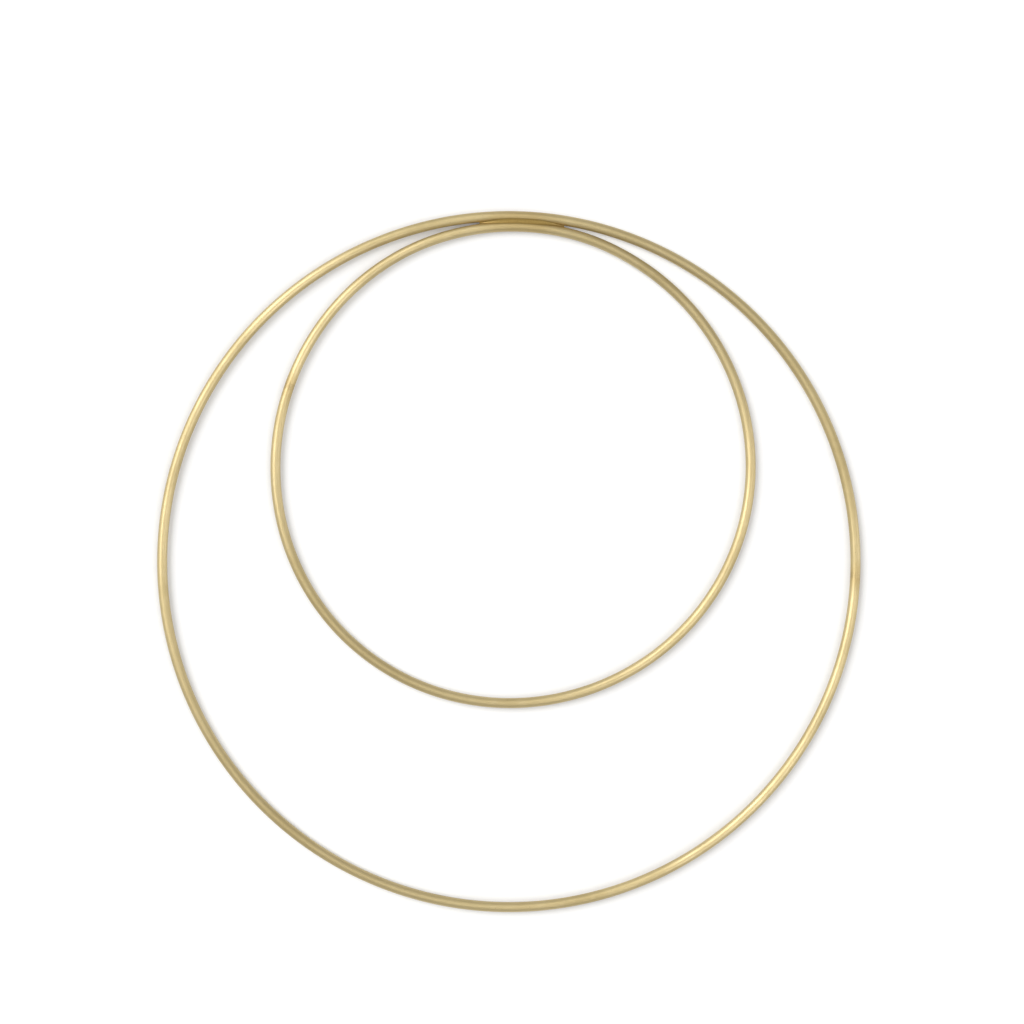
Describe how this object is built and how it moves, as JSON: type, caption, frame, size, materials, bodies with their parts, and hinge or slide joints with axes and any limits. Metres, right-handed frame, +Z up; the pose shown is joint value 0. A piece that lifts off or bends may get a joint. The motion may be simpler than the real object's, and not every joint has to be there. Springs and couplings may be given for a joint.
{
  "type": "wreath frame",
  "caption": "Rigid floral wreath frame of round brass wire: a small ring inside a large one, brazed where they touch, leaving a crescent to fill with flowers.",
  "frame": {"origin": "under the centre of the outer ring, on the surface that the wires rest on", "axes": "+Z up, square to the rings' common plane; +Y from the outer ring's centre to the joint of the two rings, which is the top when the frame hangs; +X to the right"},
  "size_m": [0.3302, 0.3302, 0.0048],
  "materials": {
    "brass_wire": "satin, drawn wire",
    "weld_metal": "satin, dressed flush, slightly browner than the wire",
    "braze_metal": "satin, as it flowed, more golden-brown than the wire"
  },
  "bodies": {
    "root": {"outer_ring": "brass_wire", "inner_ring": "brass_wire", "outer_ring_weld": "weld_metal", "inner_ring_weld": "weld_metal", "joint_braze": "braze_metal"}
  },
  "joints": []
}
